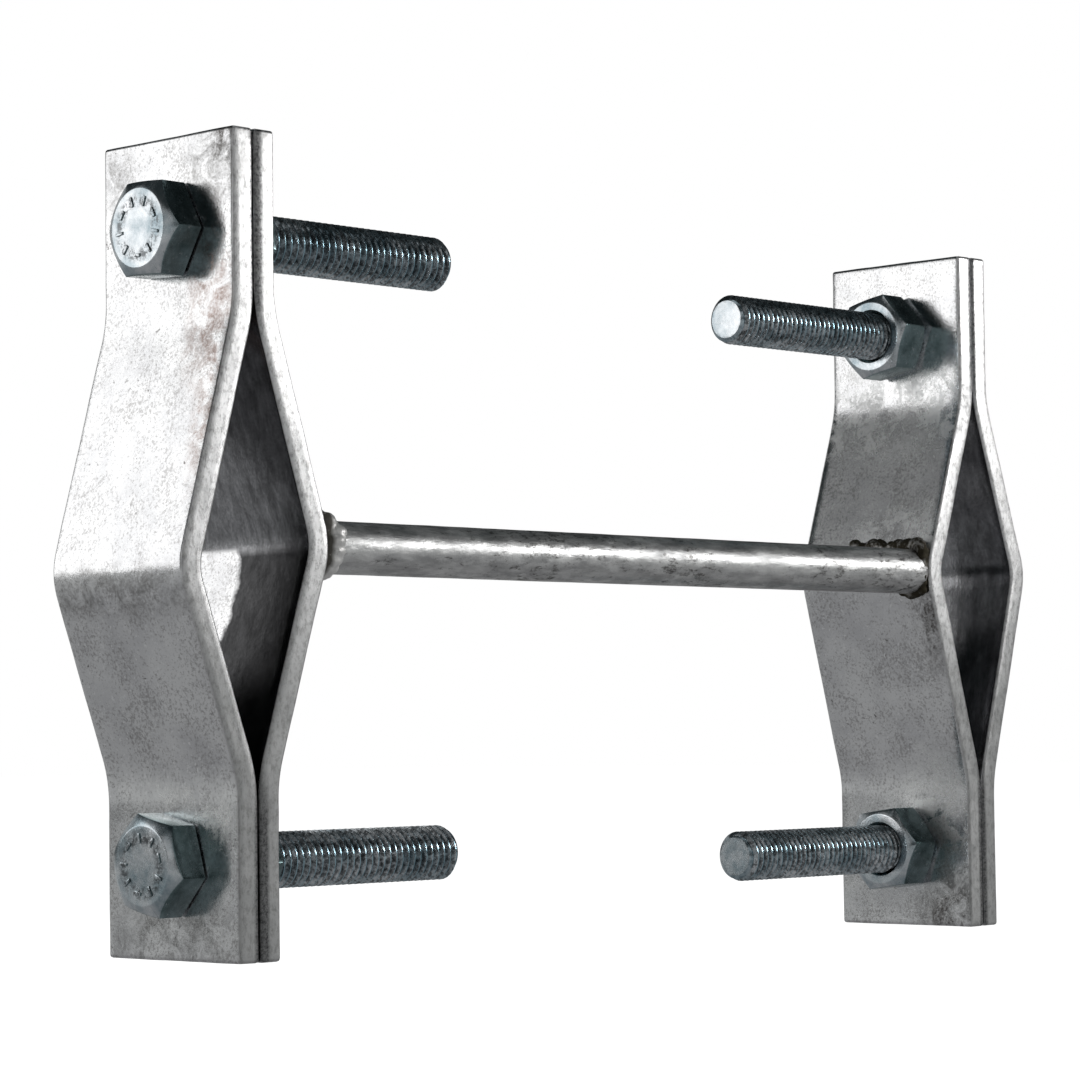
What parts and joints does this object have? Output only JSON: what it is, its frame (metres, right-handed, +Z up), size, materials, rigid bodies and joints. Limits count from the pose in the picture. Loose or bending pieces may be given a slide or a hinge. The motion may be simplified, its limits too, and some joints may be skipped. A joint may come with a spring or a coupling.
{
  "type": "double strap clamp stand-off",
  "caption": "Two bolted V-strap tube clamps held apart by a welded round bar, in galvanised steel, for tying a ladder or tube to another at a fixed distance.",
  "frame": {"origin": "middle of the whole object seen from above, at the height of the lowest strap end", "axes": "+X along the spacer bar from the left clamp to the right clamp, +Z up along the straps, -Y is the side where the bar lies near the straps' edge"},
  "size_m": [0.2355, 0.034, 0.1441],
  "materials": {
    "galvanised": "hot-dip galvanised, matte grey with faint spangle",
    "drawn_bar": "galvanised drawn bar, bright with dark flecks",
    "weld": "lumpy galvanised weld bead with burnt brown patches",
    "zinc_bolt": "bright zinc plate with a blue tint",
    "zinc_nut": "bright zinc plate with a blue tint"
  },
  "bodies": {
    "spacer_frame": {"spacer_rod": "drawn_bar", "left_weld": "weld", "right_weld": "weld", "left_inner_strap": "galvanised", "right_inner_strap": "galvanised"},
    "left_clamp_half": {"left_outer_strap": "galvanised", "left_upper_bolt": "zinc_bolt", "left_lower_bolt": "zinc_bolt"},
    "right_clamp_half": {"right_outer_strap": "galvanised", "right_upper_bolt": "zinc_bolt", "right_lower_bolt": "zinc_bolt"},
    "left_upper_nut": {"left_upper_nut": "zinc_nut"},
    "left_lower_nut": {"left_lower_nut": "zinc_nut"},
    "right_upper_nut": {"right_upper_nut": "zinc_nut"},
    "right_lower_nut": {"right_lower_nut": "zinc_nut"}
  },
  "joints": [
    {"name": "left_clamp_open", "type": "slide", "parent": "spacer_frame", "child": "left_clamp_half", "axis": [-1, 0, 0], "range_m": [0, 0.045]},
    {"name": "left_upper_nut_spin", "type": "hinge", "parent": "spacer_frame", "child": "left_upper_nut", "pos_m": [-0.092, 0, 0.12785], "axis": [1, 0, 0], "range_deg": [0, 10801]},
    {"name": "left_lower_nut_spin", "type": "hinge", "parent": "spacer_frame", "child": "left_lower_nut", "pos_m": [-0.092, 0, 0.01985], "axis": [1, 0, 0], "range_deg": [0, 10801]},
    {"name": "right_clamp_open", "type": "slide", "parent": "spacer_frame", "child": "right_clamp_half", "axis": [1, 0, 0], "range_m": [0, 0.045]},
    {"name": "right_upper_nut_spin", "type": "hinge", "parent": "spacer_frame", "child": "right_upper_nut", "pos_m": [0.092, 0, 0.12425], "axis": [-1, 0, 0], "range_deg": [0, 10801]},
    {"name": "right_lower_nut_spin", "type": "hinge", "parent": "spacer_frame", "child": "right_lower_nut", "pos_m": [0.092, 0, 0.01625], "axis": [-1, 0, 0], "range_deg": [0, 10801]}
  ],
  "couplings": [
    {"joint": "left_upper_nut_spin", "follows": "left_clamp_open", "rad_per_m": 4188.8},
    {"joint": "left_lower_nut_spin", "follows": "left_clamp_open", "rad_per_m": 4188.8},
    {"joint": "right_upper_nut_spin", "follows": "right_clamp_open", "rad_per_m": 4188.8},
    {"joint": "right_lower_nut_spin", "follows": "right_clamp_open", "rad_per_m": 4188.8}
  ]
}
